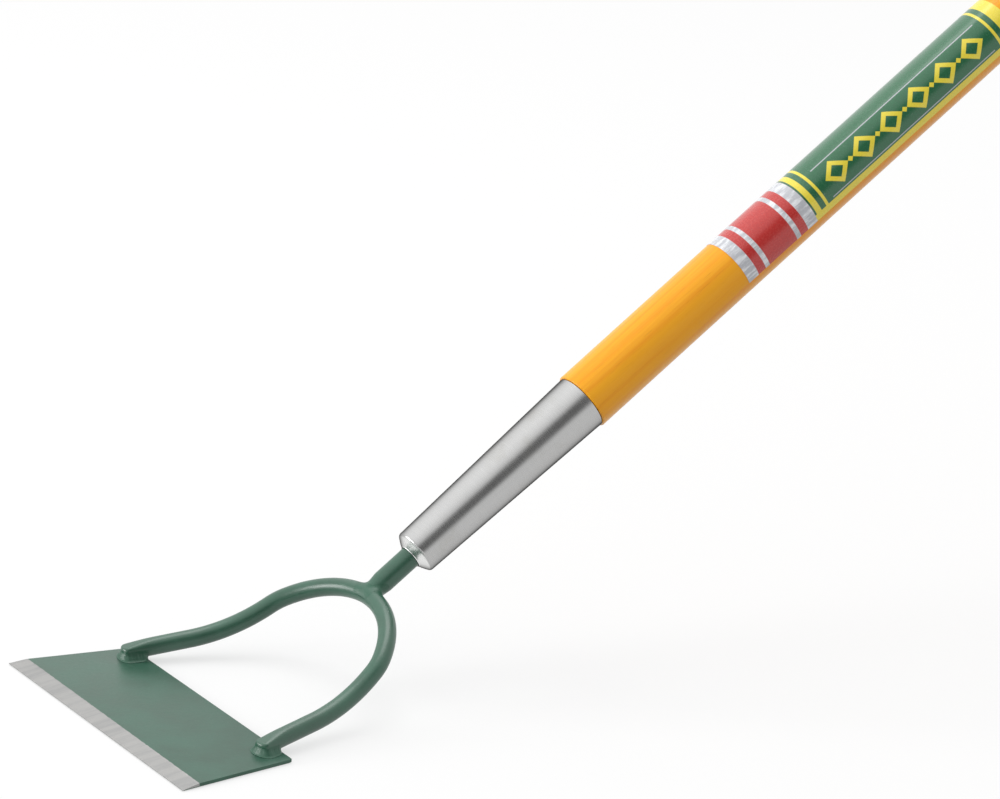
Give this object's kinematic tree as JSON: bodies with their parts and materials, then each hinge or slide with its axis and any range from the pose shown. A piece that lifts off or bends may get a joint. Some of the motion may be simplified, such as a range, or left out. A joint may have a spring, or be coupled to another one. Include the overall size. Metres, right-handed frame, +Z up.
{
  "type": "dutch hoe",
  "caption": "Dutch hoe: a flat push blade with a ground front edge on a bent rod bow, a tapered steel ferrule and a long varnished wooden handle.",
  "frame": {"origin": "middle of the blade's flat sole, where the hoe meets the ground", "axes": "+X to the user's left across the blade, +Y back from the cutting edge along the ground, +Z up; the handle rises over +Y in the plane X = 0"},
  "size_m": [0.152, 1.2761, 0.858],
  "materials": {
    "blade_paint": "satin",
    "bow_paint": "gloss",
    "weld_paint": "gloss",
    "ferrule_steel": "polished",
    "pin_steel": "satin",
    "handle_wood": "varnished",
    "label_print": "gloss"
  },
  "bodies": {
    "root": {"blade": "blade_paint", "bow": "bow_paint", "left_weld": "weld_paint", "right_weld": "weld_paint", "neck_weld": "weld_paint", "shank": "bow_paint", "ferrule": "ferrule_steel", "ferrule_pin": "pin_steel", "handle": "handle_wood", "label": "label_print"}
  },
  "joints": []
}
